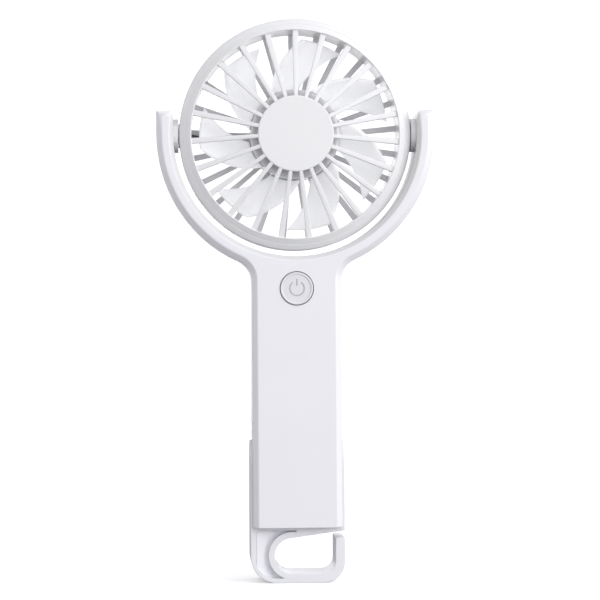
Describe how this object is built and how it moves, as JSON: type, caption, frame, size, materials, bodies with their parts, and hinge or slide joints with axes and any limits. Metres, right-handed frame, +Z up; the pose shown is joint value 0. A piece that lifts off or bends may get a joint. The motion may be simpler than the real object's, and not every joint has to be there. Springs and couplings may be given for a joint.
{
  "type": "handheld electric fan",
  "caption": "White handheld fan: guarded round head tilting in a yoke, flat handle with power button, and a folding stand bracket ending in a carry hook.",
  "frame": {"origin": "middle of the whole object's footprint, on the flat bottom of the hook (the surface it stands on)", "axes": "+Z up along the handle, -Y is the blowing side with the power button, +X to the right as the button is faced"},
  "size_m": [0.0938, 0.0244, 0.191],
  "materials": {
    "shell_plastic": "satin moulded white",
    "guard_plastic": "satin moulded white",
    "impeller_plastic": "smooth moulded white",
    "stand_plastic": "satin moulded white",
    "button_plastic": "satin moulded white",
    "washer_plastic": "natural acetal",
    "nylon": "natural nylon",
    "screw_steel": "zinc plated",
    "socket_steel": "drawn steel",
    "nickel_strip": "nickel",
    "core_steel": "laminated electrical steel",
    "magnet": "bonded magnet",
    "brass": "turned brass",
    "bronze": "oiled sintered bronze",
    "copper_wire": "enamelled copper",
    "board_laminate": "solder mask over laminate",
    "chip_resin": "moulded resin",
    "led_resin": "clear cast resin",
    "cell_wrap": "shrink-wrapped metal can",
    "wire_insulation": "PVC insulation",
    "foam": "open foam"
  },
  "bodies": {
    "handle": {"handle_front_shell": "shell_plastic", "handle_rear_shell": "shell_plastic", "friction_washers": "washer_plastic", "shell_screws": "screw_steel", "control_board": "board_laminate", "board_parts": "chip_resin", "board_screws": "screw_steel", "switch_body": "chip_resin", "status_leds": "led_resin", "usb_socket": "socket_steel", "battery_cell": "cell_wrap", "cell_tabs": "nickel_strip", "cell_leads": "wire_insulation", "foam_pad": "foam", "arm_lead": "wire_insulation"},
    "button": {"power_button": "button_plastic", "switch_plunger": "chip_resin"},
    "head": {"front_guard": "guard_plastic", "rear_guard": "guard_plastic", "left_pivot": "guard_plastic", "right_pivot": "guard_plastic", "bearing_tube": "brass", "sleeve_bearing": "bronze", "thrust_pad": "nylon", "stator_core": "core_steel", "stator_windings": "copper_wire", "motor_board": "board_laminate", "head_lead": "wire_insulation"},
    "rotor": {"impeller": "impeller_plastic", "rotor_bell": "socket_steel", "magnet_ring": "magnet", "motor_shaft": "screw_steel", "shaft_clip": "screw_steel"},
    "stand": {"stand_bracket": "stand_plastic", "stand_pins": "screw_steel"}
  },
  "joints": [
    {"name": "head_tilt", "type": "hinge", "parent": "handle", "child": "head", "pos_m": [0, 0, 0.1518], "axis": [1, 0, 0], "range_deg": [-90, 90]},
    {"name": "rotor_spin", "type": "hinge", "parent": "head", "child": "rotor", "pos_m": [0, 0, 0.1518], "axis": [0, -1, 0], "continuous": true},
    {"name": "button_press", "type": "slide", "parent": "handle", "child": "button", "axis": [0, 1, 0], "range_m": [0, 0.0004], "stiffness_N_per_m": 1200, "springref_m": -0.0002},
    {"name": "stand_fold", "type": "hinge", "parent": "handle", "child": "stand", "pos_m": [0, 0.002, 0.0398], "axis": [1, 0, 0], "range_deg": [0, 90]}
  ]
}
